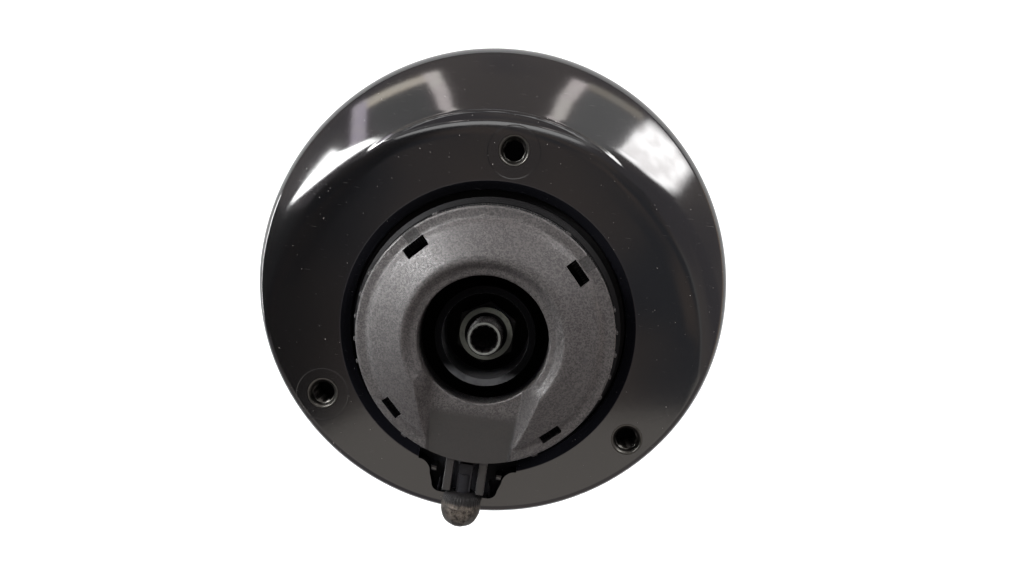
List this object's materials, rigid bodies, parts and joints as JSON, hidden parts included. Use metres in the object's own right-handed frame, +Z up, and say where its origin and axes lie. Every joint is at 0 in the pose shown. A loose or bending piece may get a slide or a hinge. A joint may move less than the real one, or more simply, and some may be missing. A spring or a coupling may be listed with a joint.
{
  "type": "air suspension strut",
  "caption": "Rear air suspension strut: moulded pot with an offset flat top mount, rubber-bonded rod mount, rolling bellows, twin-tube damper and a bushed lower eye.",
  "frame": {"origin": "centre of the three mounting threads, in the plane of the mounting flat", "axes": "+Z up along the strut's axis, out of the mounting flat; +Y away from the air fitting, towards the deep side of the pot; +X completes the right-handed frame"},
  "size_m": [0.2012, 0.2019, 0.592],
  "materials": {
    "housing_black": "glossy moulded black",
    "zinc_steel": "plain zinc plated",
    "hub_cast": "black coated casting",
    "seal_rubber": "matte",
    "cap_plastic": "matte dark grey",
    "bond_rubber": "matte",
    "plain_steel": "turned",
    "cup_black": "glossy black",
    "rod_steel": "hard chromed, greasy thread",
    "band_plastic": "brown sliding band",
    "dark_plastic": "moulded",
    "stop_foam": "foamed, pale yellow",
    "fitting_metal": "dark coated",
    "dust_cap_plastic": "moulded, faceted dome",
    "tube_black": "satin black",
    "bellows_rubber": "matte",
    "clamp_black": "crimped, black"
  },
  "bodies": {
    "top": {"top_housing": "housing_black", "lower_housing": "housing_black", "threaded_inserts": "zinc_steel", "mount_hub": "hub_cast", "hub_o_ring": "seal_rubber", "cap_gasket": "seal_rubber", "centre_cap": "cap_plastic", "mount_rubber": "bond_rubber", "mount_core": "plain_steel", "lower_washer": "plain_steel", "cup_washer": "cup_black", "rod_nut": "zinc_steel", "piston_rod": "rod_steel", "damper_piston": "plain_steel", "piston_band": "band_plastic", "piston_nut": "plain_steel", "rebound_stop": "dark_plastic", "bump_stop_cup": "dark_plastic", "bump_stop": "stop_foam", "air_fitting": "fitting_metal", "fitting_cap": "dust_cap_plastic", "guide_tube": "tube_black", "bellows": "bellows_rubber", "bellows_clamp": "clamp_black", "gaiter": "bellows_rubber", "gaiter_clamp_top": "zinc_steel"},
    "damper": {"damper_tube": "tube_black", "tube_cap": "plain_steel", "rod_guide": "plain_steel", "rod_seal": "seal_rubber", "inner_tube": "plain_steel", "base_valve": "plain_steel", "rolling_piston": "dark_plastic", "piston_clamp": "clamp_black", "piston_o_rings": "seal_rubber", "support_ring": "tube_black", "gaiter_clamp_foot": "zinc_steel", "lower_eye": "tube_black", "bush_outer": "plain_steel", "bush_rubber": "bond_rubber"},
    "bush": {"bush_sleeve": "zinc_steel"}
  },
  "joints": [
    {"name": "stroke", "type": "slide", "parent": "top", "child": "damper", "axis": [0, 0, 1], "range_m": [0, 0.15], "deforming": ["bellows", "gaiter"]},
    {"name": "bush_turn", "type": "hinge", "parent": "damper", "child": "bush", "pos_m": [0, 0, -0.5385], "axis": [1, 0, 0], "range_deg": [-15, 15]}
  ]
}
